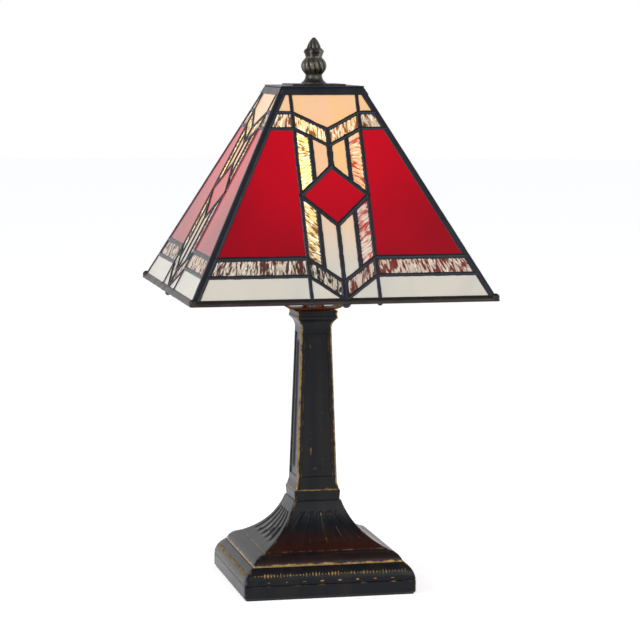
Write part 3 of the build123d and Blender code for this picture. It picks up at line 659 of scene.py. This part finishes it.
def close_tree(shape, material, lean=0.0, shift=(0.0, 0.0, 0.0)):
    """Lean one side into place, copy it to the four sides, make it real and set its finish."""
    leaning = shape.make("GeometryNodeTransform", {
        "Geometry": shape, "Rotation": (lean, 0.0, 0.0), "Translation": shift})
    sides = [
        shape.make("GeometryNodeTransform", {"Geometry": leaning, "Rotation": (0.0, 0.0, turn * pi / 2)})
        for turn in QUARTERS
    ]
    joined = shape.make("GeometryNodeJoinGeometry", {"Geometry": sides})
    real = shape.make("GeometryNodeRealizeInstances", {"Geometry": joined})
    smooth = shape.make("GeometryNodeSetShadeSmooth", {"Geometry": real})
    finished = shape.make("GeometryNodeSetMaterial", {"Geometry": smooth, "Material": material})
    shape.make("NodeGroupOutput", {0: finished}, output=None)


def grow(tree, base, sizes):
    """Run a tree on a mesh and give back the plain result."""
    thing = as_object(base)
    modifier = thing.modifiers.new("grow", "NODES")
    modifier.node_group = tree
    for item in tree.interface.items_tree:
        if item.in_out == "INPUT" and item.name in sizes:
            modifier[item.identifier] = sizes[item.name]
    return bake(thing)


def edges_mesh(runs, **numbers):
    """Mesh of loose edges. runs are (start, end); numbers give each run one point value."""
    points = [point for ends in runs for point in ends]
    edges = [(2 * n, 2 * n + 1) for n in range(len(runs))]
    both_ends = {name: [value for value in values for _ in (0, 1)] for name, values in numbers.items()}
    return new_mesh("runs", points, edges, [], **both_ends)


# %% Reeding on the foot's band
SMALLEST_KNOB, LARGEST_KNOB, KNOB_SEED, KNOB_RUB = (0.55, 0.7, 0.3), (1.3, 1.1, 1.15), 7, 0.78
reed_tree, reed = new_tree("reeding", ["Spacing", "Half wide", "Half tall", "Proud", "Tilt"])
knobs = reed["Geometry"].make("GeometryNodeMeshUVSphere", {"Segments": 8, "Rings": 6, "Radius": 1.0})
size = knobs.combine(reed["Half wide"], reed["Proud"], reed["Half tall"])
turned = knobs.combine(reed["Tilt"])
knob = knobs.make("GeometryNodeTransform", {"Geometry": knobs, "Scale": size, "Rotation": turned})
line = knob.make("GeometryNodeMeshToCurve", {"Mesh": reed["Geometry"]})
dots = knob.make("GeometryNodeCurveToPoints", {"Curve": line, "Length": reed["Spacing"]}, mode="LENGTH")
uneven = knob.make("FunctionNodeRandomValue", {
    "Min": SMALLEST_KNOB, "Max": LARGEST_KNOB, "Seed": KNOB_SEED}, data_type="FLOAT_VECTOR")
placed = knob.make("GeometryNodeInstanceOnPoints", {"Points": dots, "Instance": knob, "Scale": uneven})
real_knobs = knob.make("GeometryNodeRealizeInstances", {"Geometry": placed})
worn_knobs = knob.make("GeometryNodeStoreNamedAttribute", {
    "Geometry": real_knobs, "Name": "rub", "Value": KNOB_RUB}, data_type="FLOAT", domain="POINT")
close_tree(worn_knobs, bronze)


def band_half(height):
    """Half width of the band's surface at a height."""
    for (low_half, low_z), (high_half, high_z) in zip(band, band[1:]):
        if low_z <= height <= high_z:
            return low_half + (high_half - low_half) * (height - low_z) / (high_z - low_z)


def reed_row(height, reach, spacing, half_wide, half_tall, proud, tilt):
    """A row of knobs on each side of the band, reaching as far left as right."""
    outward = -band_half(height) * MM
    base = edges_mesh([((-reach * MM, outward, height * MM), (reach * MM, outward, height * MM))])
    return grow(reed_tree, base, {
        "Spacing": spacing * MM, "Half wide": half_wide * MM, "Half tall": half_tall * MM,
        "Proud": proud * MM, "Tilt": radians(tilt)})


rows = [reed_row(16.2, 51.0, 2.15, 0.44, 1.6, 0.36, -29), reed_row(12.0, 42.0, 11.5, 1.1, 0.55, 0.25, -10)]


def gather(work):
    for row in rows:
        work.from_mesh(row)


reeding = edit(bpy.data.meshes.new("reeding"), gather)
hand_over(reeding, "foot_reeding", "base", bronze)

# %% [markdown]
# ## The finial
# A small casting screwed down on the shade: a flared foot, a ribbed bulb, a crown of leaves and
# a pointed bud. It is turned like wood on a lathe, but its radius also changes round each ring,
# which is how the ribs and leaves grow out of it.

# %% Finial
finial_low, finial_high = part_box("finial")
finial_floor, finial_rise = finial_low[2] / MM, (finial_high[2] - finial_low[2]) / MM
AROUND = 96
RIBS, LEAVES, BUD_FLUTES = 7, 6, 5
rib_twist, bud_twist = 0.18, 0.25
bore_half, bore_depth = 4.35, 9.4
stem_z, waist_z, leaf_z, bud_z = (share * finial_rise for share in (0.20, 0.56, 0.69, 0.77))


def carve(radius, height, angle):
    """Radius after the ribs, leaves and flutes are cut."""
    if stem_z < height < waist_z:
        swell = sin(pi * (height - stem_z) / (waist_z - stem_z))
        twist = rib_twist * (height - stem_z)
        return radius - swell * (0.8 * (1 - abs(cos(RIBS * angle + twist))) ** 1.2) + 0.1 * swell
    if waist_z <= height < bud_z:
        swell = sin(pi * (height - waist_z) / (bud_z - waist_z))
        return radius + swell * (0.9 * max(0.0, cos(LEAVES * angle)) ** 2 - 0.55)
    if height >= bud_z:
        fade = (finial_rise - height) / (finial_rise - bud_z)
        return radius - 0.75 * fade * (1 - abs(cos(BUD_FLUTES * angle + bud_twist * height))) ** 1.1
    return radius


lathe_line = [(bore_half, bore_depth), (bore_half, 0.0), (8.1, 0.0), (8.45, 0.15), (8.45, 0.6)]
lathe_line += run((8.45, 0.6), (5.6, stem_z), 9, -0.9)
lathe_line += run((5.6, stem_z), (5.6, waist_z), 30, 2.85)
lathe_line += run((5.6, waist_z), (6.7, leaf_z), 8, -0.35)
lathe_line += run((6.7, leaf_z), (4.9, bud_z), 6, 0.3)
lathe_line += run((4.9, bud_z), (0.8, finial_rise - 0.05), 16, 0.5)
points, finial_rub_and_highlight = [], []
for radius, height in lathe_line:
    for n in range(AROUND):
        angle = 2 * pi * n / AROUND
        reach = carve(radius, height, angle) if radius > 4.4 or height > bud_z else radius
        # The lowest millimetre of the foot gets more rub, a painted highlight along its rim. On ribs and
        # leaves the rub grows as a point stands proud: worn metal and painted highlight together.
        plain_rub_and_rim_highlight = 0.3 if height < 1.0 else 0.17
        finial_rub_and_highlight.append(plain_rub_and_rim_highlight if height < stem_z else 0.31 * max(0.0, 1 + 2.6 * (reach - radius)))
        points.append((reach * cos(angle) * MM, reach * sin(angle) * MM, (finial_floor + height) * MM))
faces = ring_faces(len(lathe_line), AROUND)
low_pole, high_pole = len(points), len(points) + 1
points += [(0.0, 0.0, (finial_floor + bore_depth) * MM), (0.0, 0.0, finial_high[2])]
last = (len(lathe_line) - 1) * AROUND
for n in range(AROUND):
    after = (n + 1) % AROUND
    faces += [(after, n, low_pole), (last + n, last + after, high_pole)]
finial_mesh = new_mesh("finial", points, [], faces, rub=finial_rub_and_highlight + [0.0, 0.2])


def pewter_recipe(place):
    haze = place.clouds(180.0, 3.0)
    # Ribs, leaves and the foot's rim turn pale grey: rubbed metal and painted highlight together.
    ridge_wear_and_highlight = (place.attribute("rub") + haze * 0.5 - 0.2).step(0.05, 0.5)
    paint = haze.tint((22, 22, 23), (42, 40, 37))
    return {
        "Base Color": ridge_wear_and_highlight.tint(paint, (108, 103, 92)), "Metallic": 0.75,
        "Roughness": 0.4 - haze * 0.12, "Normal": place.clouds(400.0, 3.0).bump(0.3, 0.15 * MM),
    }


pewter = finish("dark_pewter", pewter_recipe)
hand_over(finial_mesh, "finial_casting", "finial", pewter, ["finial"], 50.0)

# %% [markdown]
# ## The shade's seams
# Each pane is wrapped in copper foil and soldered to its neighbours, so a rounded bead of
# solder stands over every joint, and pools a little where beads meet. The beads are laid out on
# one flat face, each edge with its own width, then leaned into place and copied round.

# %% Sizes of one face
shade_half, shade_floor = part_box("bottom_rim")[1][0] / MM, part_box("bottom_rim")[0][2] / MM
shade_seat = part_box("top_rim")[1][2] / MM
top_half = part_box("cap_plate")[1][0] / MM
shade_run, shade_height = shade_half - top_half, shade_seat - shade_floor
slant = hypot(shade_run, shade_height)
lean = atan2(shade_height, shade_run)
face_shift = (0.0, -shade_half * MM, shade_floor * MM)
seam_depth = 4.6
long_u, strip_u = 22.3, 12.0
band_levels = {"upper top": 136.8, "upper low": 125.0, "lower top": 33.0, "lower low": 20.4}
upper_drop, lower_drop = 12.4, 16.9
diamond_top, diamond_side, diamond_low = 97.8, 77.0, 55.8
fine_bead, wide_bead, middle_bead = 2.7, 3.3, 4.4
print(f"a face is {slant:.1f} mm up its slope and leans at {lean * 180 / pi:.1f} degrees")


# %% Layout of the beads
def chevron(u, level, drop):
    return level - drop * (1 - u / long_u)


def diamond_edge(u, tip):
    return tip + (diamond_side - tip) * u / long_u


drops = {name: upper_drop if "upper" in name else lower_drop for name in band_levels}
tip = {name: chevron(0, level, drops[name]) for name, level in band_levels.items()}
beads = []
for side in (-1, 1):
    long_line, strip_line = side * long_u, side * strip_u
    beads.append((fine_bead, (long_line, 2.0), (long_line, slant - 3.0)))
    for level in band_levels.values():
        reach = shade_half - level * shade_run / slant - 3.4
        width = wide_bead if level == band_levels["lower top"] else fine_bead
        beads.append((width, (long_line, level), (side * reach, level)))
    beads += [
        (wide_bead, (strip_line, diamond_edge(strip_u, diamond_top)),
         (strip_line, chevron(strip_u, band_levels["upper low"], upper_drop))),
        (wide_bead, (strip_line, chevron(strip_u, band_levels["lower top"], lower_drop)),
         (strip_line, diamond_edge(strip_u, diamond_low))),
        (wide_bead, (0, diamond_top), (long_line, diamond_side)),
        (wide_bead, (0, diamond_low), (long_line, diamond_side)),
    ]
    beads += [(fine_bead, (0, tip[name]), (long_line, level)) for name, level in band_levels.items()]
beads += [(wide_bead, (0, tip["upper low"]), (0, tip["upper top"])),
          (middle_bead, (0, diamond_top), (0, tip["upper low"])),
          (wide_bead, (0, tip["lower top"]), (0, diamond_low)),
          (middle_bead, (0, 2.0), (0, tip["lower top"]))]
print(len(beads), "beads on a face")

# %% Solder beads
GLASS_SHARE = 0.758  # a bead's width where it meets the glass, over its full width
POOL_SHARE = 1.12  # a pool's width over its bead's
bead_tree, bead = new_tree("solder_beads", ["Half height", "Step", "Wander"])
lines = bead["Geometry"].make("GeometryNodeMeshToCurve", {"Mesh": bead["Geometry"]})
steps = lines.make("GeometryNodeResampleCurve", {"Curve": lines, "Length": bead["Step"]}, mode="LENGTH")
spot = lines.make("GeometryNodeInputPosition")
shake = lines.make("ShaderNodeTexNoise", {"Vector": spot, "Scale": 160.0, "Detail": 1.0}, output=1)
flat = shake.vector("SUBTRACT", (0.5, 0.5, 0.5)).stretch(1.0, 1.0, 0.0)
drift = lines.make("ShaderNodeVectorMath", {0: flat, "Scale": bead["Wander"]}, operation="SCALE")
wandering = lines.make("GeometryNodeSetPosition", {"Geometry": steps, "Offset": drift})
half_wide = lines.make("GeometryNodeInputNamedAttribute", {"Name": "bead"}, data_type="FLOAT")
uneven = lines.make("ShaderNodeTexNoise", {"Vector": spot, "Scale": 230.0, "Detail": 1.0})
radius = half_wide * (uneven * 0.5 + 0.75)
upright = lines.make("GeometryNodeSetCurveNormal", {"Curve": wandering}, mode="Z_UP")
sized = lines.make("GeometryNodeSetCurveRadius", {"Curve": upright, "Radius": radius})
kept = lines.make("GeometryNodeStoreNamedAttribute", {
    "Geometry": sized, "Name": "reach", "Value": radius}, data_type="FLOAT", domain="POINT")
ring = lines.make("GeometryNodeCurvePrimitiveCircle", {"Resolution": 12, "Radius": 1.0}, mode="RADIUS")
tubes = lines.make("GeometryNodeCurveToMesh", {
    "Curve": kept, "Profile Curve": ring, "Scale": radius, "Fill Caps": True})
xyz = lines.make("ShaderNodeSeparateXYZ", {"Vector": spot}, output=None)
x_of, y_of, z_of = (Wire(bead_tree, socket) for socket in xyz.outputs)
reach = lines.make("GeometryNodeInputNamedAttribute", {"Name": "reach"}, data_type="FLOAT")
tall = lines.combine(x_of, y_of, z_of / reach * bead["Half height"])
beaded = lines.make("GeometryNodeSetPosition", {"Geometry": tubes, "Position": tall})
pool = lines.make("GeometryNodeMeshUVSphere", {"Segments": 14, "Rings": 8, "Radius": 1.0})
pool_wide = half_wide * POOL_SHARE
pool_size = lines.combine(pool_wide, pool_wide, bead["Half height"])
pools = lines.make("GeometryNodeInstanceOnPoints", {
    "Points": bead["Geometry"], "Instance": pool, "Scale": pool_size})
all_solder = lines.make("GeometryNodeJoinGeometry", {"Geometry": [beaded, pools]})
sunk = lines.make("GeometryNodeTransform", {
    "Geometry": all_solder, "Translation": (0.0, 0.0, -seam_depth / 2 * MM)})
close_tree(sunk, solder, lean, face_shift)

layout = edges_mesh([((a[0] * MM, a[1] * MM, 0.0), (b[0] * MM, b[1] * MM, 0.0)) for _, a, b in beads],
                    bead=[width / 2 / GLASS_SHARE * MM for width, _, _ in beads])
seams = grow(bead_tree, layout, {"Half height": seam_depth / 2 * MM, "Step": 1.6 * MM, "Wander": 0.45 * MM})
hand_over(seams, "solder_seams", "shade", solder, ["face_seams"], 60.0)

# %% [markdown]
# ## Rims, corners and cap
# The rims and corner seams are thicker solder over the shade's frame. The bottom rim has a drop
# of solder at each corner. All of them are slightly uneven, as hand-run solder is.


# %% Rims and cap plate
def shade_outer(height):
    return shade_half - shade_run * (height - shade_floor) / shade_height


def square_ring(name, outline, corner, count, unevenness, node, material, extra=None):
    """A square moulding from an outline of (half, height), slightly uneven along each side."""
    made = []
    for half, height in outline:
        bend = min(corner, 0.45 * half)
        lines_across = []
        for n in range(count):
            across = (half - bend) * (2 * n / (count - 1) - 1) * 0.995
            wave = noise.noise(Vector((across * 0.16, height * 0.25, half * 0.1)))
            lines_across.append((across, unevenness * (0.5 + wave), 0.0))
        made.append(side_ring(half, height, bend, lines_across, 0.0, 0.0, 0.0))
    mesh = stack(made)
    if extra:
        edit(mesh, extra)
    hand_over(mesh, name, "shade", material, [node])


def solder_drops(work):
    drop, reach_out = 2.55, shade_half - 2.6
    for x in (-1, 1):
        for y in (-1, 1):
            where = Matrix.Translation((x * reach_out * MM, y * reach_out * MM, (shade_floor + 2.6) * MM))
            bmesh.ops.create_uvsphere(work, u_segments=24, v_segments=14, radius=drop * MM, matrix=where)


# How far in from the shade's edge and up from its floor each point of the bottom rim is
bottom_steps = [(0.7, 0.02), (0.1, 0.4), (0.15, 1.2), (1.0, 2.5), (1.8, 3.5),
                (2.8, 4.0), (5.6, 4.0), (6.4, 2.8), (5.9, 0.6), (5.2, 0.02)]
bottom_outline = [(shade_half - inset, shade_floor + rise) for inset, rise in bottom_steps]
square_ring("bottom_rim_bead", bottom_outline, 1.6, 70, 0.35, "bottom_rim", rim_solder, extra=solder_drops)
crown = shade_seat - 4.8
top_outline = [(shade_outer(crown) - 1.2, crown - 0.4), (shade_outer(crown) - 0.02, crown + 0.2),
               (shade_outer(crown + 2.4) - 0.02, crown + 2.4), (shade_outer(crown + 4.2) - 0.05, crown + 4.2),
               (top_half - 0.1, shade_seat - 0.15), (top_half - 0.4, shade_seat),
               (top_half - 5.2, shade_seat), (top_half - 3.4, crown + 2.0), (top_half - 2.3, crown - 0.2),
               (top_half - 1.6, crown - 0.4)]
square_ring("top_rim_bead", top_outline, 1.2, 30, 0.2, "top_rim", solder)
cap_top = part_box("cap_plate")[1][2] / MM
step_half = 18.2
cap_outline = [(top_half - 0.3, shade_seat), (top_half, shade_seat + 0.2), (top_half, shade_seat + 0.75),
               (top_half - 0.3, shade_seat + 1.0), (step_half + 0.3, shade_seat + 1.0),
               (step_half, shade_seat + 1.3), (step_half, cap_top - 0.3), (step_half - 0.3, cap_top),
               (3.6, cap_top), (3.6, shade_seat)]
square_ring("cap_plate_pressing", cap_outline, 1.0, 12, 0.0, "cap_plate", solder)

# %% Corner seams
corner_points, corner_faces = [], []
CORNER_LEVELS, CORNER_WAVE = 56, 0.22
bottom_level, top_level = shade_floor + 2.0, shade_seat - 1.5
section = [(5.5, 1.0), (4.7, 0.25), (3.4, 0.03)]
section += [(2.6 - 2.57 * sin(a * pi / 12), 2.6 - 2.57 * cos(a * pi / 12)) for a in range(1, 6)]
section += [(0.03, 3.4), (0.25, 4.7), (1.0, 5.5), (4.4, 5.6), (5.2, 5.2), (5.6, 4.4)]
for turn in QUARTERS:
    spin = quarter(turn)
    first = len(corner_points)
    for level in range(CORNER_LEVELS):
        height = bottom_level + (top_level - bottom_level) * level / (CORNER_LEVELS - 1)
        half = shade_outer(height) - 0.05
        for back_x, back_y in section:
            where = Vector((height * 0.22, back_x * 0.4 + turn * 9, back_y * 0.4))
            wave = CORNER_WAVE * (0.5 + 0.5 * noise.noise(where))
            corner_points.append(spin @ Vector((half - back_x - wave, back_y + wave - half, height)) * MM)
    wide = len(section)
    corner_faces += ring_faces(CORNER_LEVELS, wide, first)
    corner_faces.append(tuple(first + n for n in reversed(range(wide))))
    corner_faces.append(tuple(first + (CORNER_LEVELS - 1) * wide + n for n in range(wide)))
corner_mesh = new_mesh("corners", corner_points, [], corner_faces)
hand_over(corner_mesh, "corner_beads", "shade", solder, ["corner_seams"], 60.0)

# %% [markdown]
# ## Rippled panes
# Rippled glass has real waves across its length, and that is what makes it sparkle. Each pane
# is rebuilt as a fine slab between the same four corners as its CAD solid, and both faces rise
# and fall. Numbers on its points tell the finish how far along and across the sheet they are.

# %% Find the corners of each pane
RIPPLE_LENGTH, RIPPLE_RISE, GRID = 2.7, 0.28, 0.75
WANDER_SCALE, WANDER_TURN = 150, 4.5
face_turn = Matrix.Rotation(lean, 4, "X")
to_world = [
    quarter(turn, 4) @ Matrix.Translation(face_shift) @ face_turn
    for turn in QUARTERS
]


def islands(mesh):
    """Corner points of each separate solid in a mesh."""
    work = bmesh.new()
    work.from_mesh(mesh)
    bmesh.ops.remove_doubles(work, verts=work.verts, dist=0.02 * MM)
    left, groups = set(work.verts), []
    while left:
        found, queue = set(), [next(iter(left))]
        while queue:
            point = queue.pop()
            if point not in found:
                found.add(point)
                queue += [edge.other_vert(point) for edge in point.link_edges]
        left -= found
        groups.append([point.co.copy() for point in found])
    work.free()
    return sorted(groups, key=lambda group: tuple(round(n, 5) for n in sum(group, Vector()) / len(group)))


def pane_corners(group):
    """(turn, four (u, v) corners in order round the pane, top level, bottom level) of a slab."""
    middle = sum(group, Vector()) / len(group)
    front = Vector((0, -1, 0))
    turn = max(QUARTERS, key=lambda t: (quarter(t) @ front).dot(middle))
    flat_points = [to_world[turn].inverted() @ point for point in group]
    top, low = max(p.z for p in flat_points), min(p.z for p in flat_points)
    upper = [Vector((p.x, p.y)) for p in flat_points if p.z > (top + low) / 2]
    centre = sum(upper, Vector((0, 0))) / len(upper)
    upper.sort(key=lambda p: atan2(p.y - centre.y, p.x - centre.x))
    return turn, upper, top, low


# %% Build the rippled slabs
subparts = frame["record"]["subparts"]
rippled_nodes = sorted(part["node"] for part in subparts if part["material_slot"] == "rippled_glass")
PANE_NUMBERS = ("along", "across", "sheet", "tone", "lit")
# How red and how brightly lit each kind of pane is, left then right
PANE_LOOK = {
    "upper_strip_rippled_glass": ((0.0, 1.0), (0.8, 0.55)),
    "lower_strip_rippled_glass": ((0.0, 0.62), (1.0, 0.04)),
    "upper_chevron_glass": ((0.08, 0.55), (0.22, 0.42)),
    "lower_chevron_glass": ((0.0, 0.0), (0.3, 0.0)),
    "wing_top_rippled_glass": ((0.15, 0.30), (0.12, 0.16)),
    "wing_bottom_rippled_glass": ((0.10, 0.05), (0.35, 0.04)),
}


def rippled_slab(points, faces, numbers, turn, corners, top, low, seed, look):
    """Add one pane to the lists: two rippled faces joined by its edge."""
    a, b, c, d = corners
    if (b - a).length + (c - d).length < (c - b).length + (d - a).length:
        a, b, c, d = b, c, d, a
    length = ((b - a).length + (c - d).length) / 2 / MM
    width = ((d - a).length + (c - b).length) / 2 / MM
    many, across = max(4, int(length / GRID)), max(4, int(width / GRID / 1.6))
    tone, lit = look[(a.x + c.x) > 0]
    lower_end, upper_end = band_levels["lower low"], band_levels["lower top"] + 30
    first = len(points)
    for front in (True, False):
        for i in range(many + 1):
            for j in range(across + 1):
                s, t = i / many, j / across
                spot = (a * (1 - s) + b * s) * (1 - t) + (d * (1 - s) + c * s) * t
                wander = noise.noise(Vector((spot.x, spot.y, seed * 0.01)) * WANDER_SCALE) * WANDER_TURN
                phase = 2 * pi * (s * length / RIPPLE_LENGTH) + wander + seed
                edge = min(s, 1 - s, t, 1 - t)
                fade = min(1.0, edge * 8)
                rise = RIPPLE_RISE * fade * sin(phase) * (1 if front else 0.5)
                level = top + (rise - 0.25) * MM if front else low + (rise * 0.5) * MM
                points.append(to_world[turn] @ Vector((spot.x, spot.y, level)))
                low_share = min(max((spot.y / MM - lower_end) / (upper_end - lower_end), 0.0), 1.0)
                numbers.append((s * length, t * width, seed * 7.0, tone, lit * (0.25 + 0.75 * low_share)))
    grid = (many + 1) * (across + 1)
    for i in range(many):
        for j in range(across):
            n = first + i * (across + 1) + j
            quad = (n, n + across + 1, n + across + 2, n + 1)
            faces.append(quad)
            faces.append(tuple(k + grid for k in reversed(quad)))
    rim = [first + j for j in range(across + 1)]
    rim += [first + i * (across + 1) + across for i in range(1, many + 1)]
    rim += [first + many * (across + 1) + j for j in range(across - 1, -1, -1)]
    rim += [first + i * (across + 1) for i in range(many - 1, 0, -1)]
    for here, after in zip(rim, rim[1:] + rim[:1]):
        faces.append((here, after, after + grid, here + grid))


for index, node_name in enumerate(rippled_nodes):
    points, faces, numbers = [], [], []
    for count, group in enumerate(islands(frame["nodes"][node_name].data)):
        turn, corners, top, low = pane_corners(group)
        rippled_slab(points, faces, numbers, turn, corners, top, low, index * 8 + count, PANE_LOOK[node_name])
    mesh = new_mesh(node_name, points, [], faces, **dict(zip(PANE_NUMBERS, zip(*numbers))))
    edit(mesh, lambda work: bmesh.ops.recalc_face_normals(work, faces=work.faces))
    hand_over(mesh, node_name + "_rippled", "shade", rippled_glass, [node_name], 70.0)

# %% [markdown]
# ## Floor and light
# A pale floor and a soft, nearly white surround. The surround is brightest near the horizon and
# dimmer overhead, so the front of the shade stays deep in colour while its left side, seen at
# a glancing angle, takes a pale sheen.

# %% Floor
def disc(work):
    bmesh.ops.create_circle(work, cap_ends=True, segments=96, radius=6.0)


def floor_recipe(place):
    return {"Base Color": (0.92, 0.92, 0.92, 1.0), "Roughness": 0.9, "Specular IOR Level": 0.1,
            "Emission Color": WHITE, "Emission Strength": 0.55}


floor_mesh = edit(bpy.data.meshes.new("floor"), disc)
floor_mesh.materials.append(finish("pale_floor", floor_recipe))
floor = as_object(floor_mesh, "floor")

# %% Light
world = bpy.data.worlds.new("surround")
bpy.context.scene.world = world
world.use_nodes = True
world.node_tree.nodes.clear()
sky = Wire(world.node_tree)
direction = sky.make("ShaderNodeTexCoord", output="Generated")
height = direction.make("ShaderNodeSeparateXYZ", {"Vector": direction}, output=2)
shade_of_sky = height.step(0.12, 0.75).tint(WHITE, (0.30, 0.31, 0.33, 1.0))
background = sky.make("ShaderNodeBackground", {"Color": shade_of_sky, "Strength": 1.0})
sky.make("ShaderNodeOutputWorld", {"Surface": background}, output=None)


def soft_light(name, place, target, size, power):
    """A large square lamp aimed at a point."""
    data = bpy.data.lights.new(name, "AREA")
    data.size, data.energy = size, power
    lamp = bpy.data.objects.new(name, data)
    bpy.context.collection.objects.link(lamp)
    aim = (Vector(target) - Vector(place)).to_track_quat("-Z", "Y")
    lamp.matrix_world = Matrix.Translation(place) @ aim.to_matrix().to_4x4()


soft_light("left_softbox", (-1.5, -0.6, 0.9), (0.0, 0.0, 0.15), 0.8, 14.0)
soft_light("front_softbox", (0.9, -1.6, 1.3), (0.0, 0.0, 0.2), 0.9, 10.0)
bpy.context.scene.view_settings.view_transform = "Standard"
